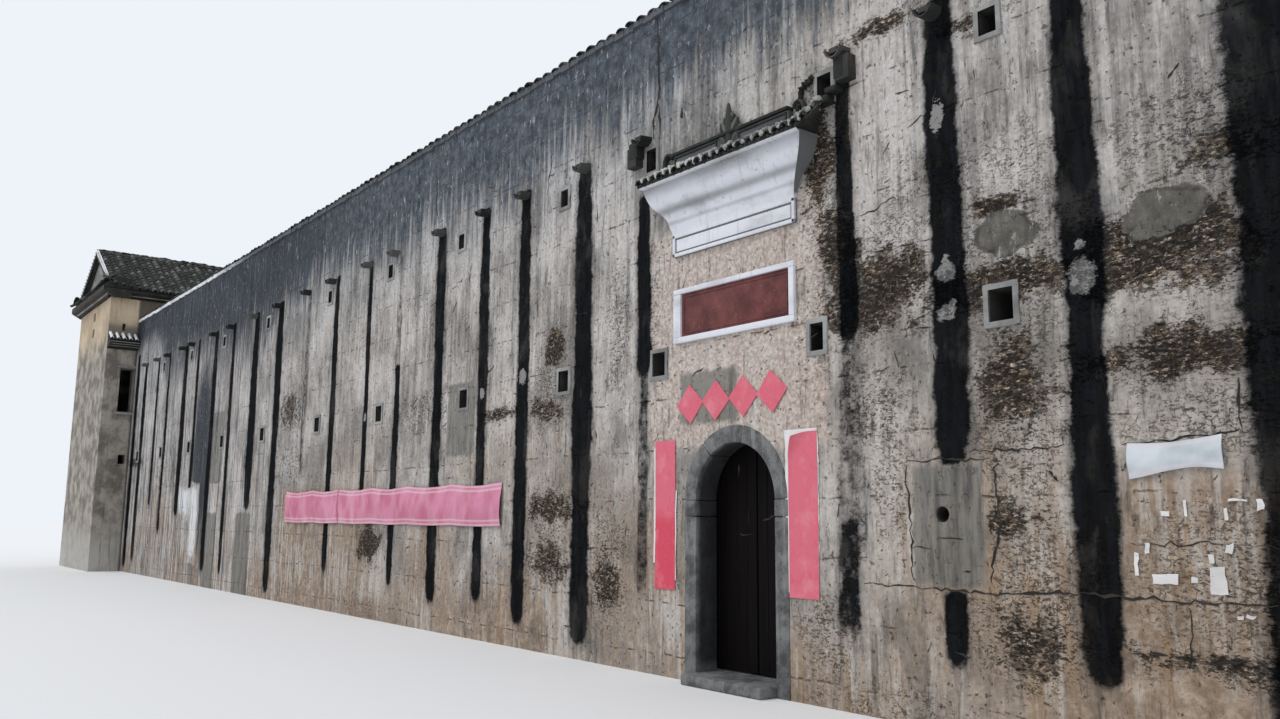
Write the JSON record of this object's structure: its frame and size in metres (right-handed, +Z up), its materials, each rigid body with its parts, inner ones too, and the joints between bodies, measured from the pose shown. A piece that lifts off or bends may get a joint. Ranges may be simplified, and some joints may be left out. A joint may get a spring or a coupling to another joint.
{
  "type": "1:2 scale model of a walled clan house",
  "caption": "Half-size model of a fortified rammed-earth house round a court, with corner towers, loophole windows, drain spouts and an arched stone gate whose two leaves swing inwards.",
  "frame": {"origin": "middle of the plan at ground level, under the court", "axes": "+Z up, the gate faces -Y, and +X runs along the front wall to the right of someone who faces the gate"},
  "size_m": [30.71, 21.11, 4.9],
  "materials": {
    "earth_wall": "matte lime plaster over rammed earth, stained and streaked",
    "tower_wall": "matte lime plaster over rammed earth, weathered",
    "inner_wall": "matte lime plaster",
    "coping": "matte fired tiles bedded in white mortar",
    "roof_tile": "matte fired tile, mossy",
    "floor_boards": "plain worn boards",
    "gate_stone": "dressed stone, worn",
    "door_wood": "dark planks, satin from handling",
    "whitewash": "matte whitewashed plaster",
    "tablet": "matte red limewash, bare",
    "pink_paper": "faded matte paper, bare",
    "pink_cloth": "thin printed cotton, bare",
    "white_cloth": "thin cotton, bare"
  },
  "bodies": {
    "house": {"front_wall_left": "earth_wall", "front_wall_right": "earth_wall", "front_wall_over_gate": "earth_wall", "back_wall": "earth_wall", "left_wall": "earth_wall", "right_wall": "earth_wall", "front_coping": "coping", "back_coping": "coping", "left_coping": "coping", "right_coping": "coping", "front_inner_wall": "inner_wall", "back_inner_wall": "inner_wall", "left_inner_wall": "inner_wall", "right_inner_wall": "inner_wall", "front_middle_floor": "floor_boards", "back_middle_floor": "floor_boards", "left_middle_floor": "floor_boards", "right_middle_floor": "floor_boards", "front_upper_floor": "floor_boards", "back_upper_floor": "floor_boards", "left_upper_floor": "floor_boards", "right_upper_floor": "floor_boards", "front_roof": "roof_tile", "back_roof": "roof_tile", "left_roof": "roof_tile", "right_roof": "roof_tile", "front_left_tower": "tower_wall", "front_right_tower": "tower_wall", "back_left_tower": "tower_wall", "back_right_tower": "tower_wall", "front_left_tower_roof": "roof_tile", "front_right_tower_roof": "roof_tile", "back_left_tower_roof": "roof_tile", "back_right_tower_roof": "roof_tile", "gate_jamb_left": "gate_stone", "gate_jamb_right": "gate_stone", "gate_arch": "gate_stone", "threshold": "gate_stone", "cornice": "whitewash", "cornice_tiles": "roof_tile", "cornice_ridge": "roof_tile", "tablet_frame": "whitewash", "tablet": "tablet", "couplet_left": "pink_paper", "couplet_right": "pink_paper", "diamond_papers": "pink_paper", "pink_banner": "pink_cloth", "white_banner": "white_cloth"},
    "door_leaf_left": {"door_leaf_left": "door_wood"},
    "door_leaf_right": {"door_leaf_right": "door_wood"}
  },
  "joints": [
    {"name": "left_leaf_swing", "type": "hinge", "parent": "house", "child": "door_leaf_left", "pos_m": [-0.3325, -9.8325, 0.65], "axis": [0, 0, 1], "range_deg": [0, 90]},
    {"name": "right_leaf_swing", "type": "hinge", "parent": "house", "child": "door_leaf_right", "pos_m": [0.3325, -9.8325, 0.65], "axis": [0, 0, -1], "range_deg": [0, 90]}
  ]
}
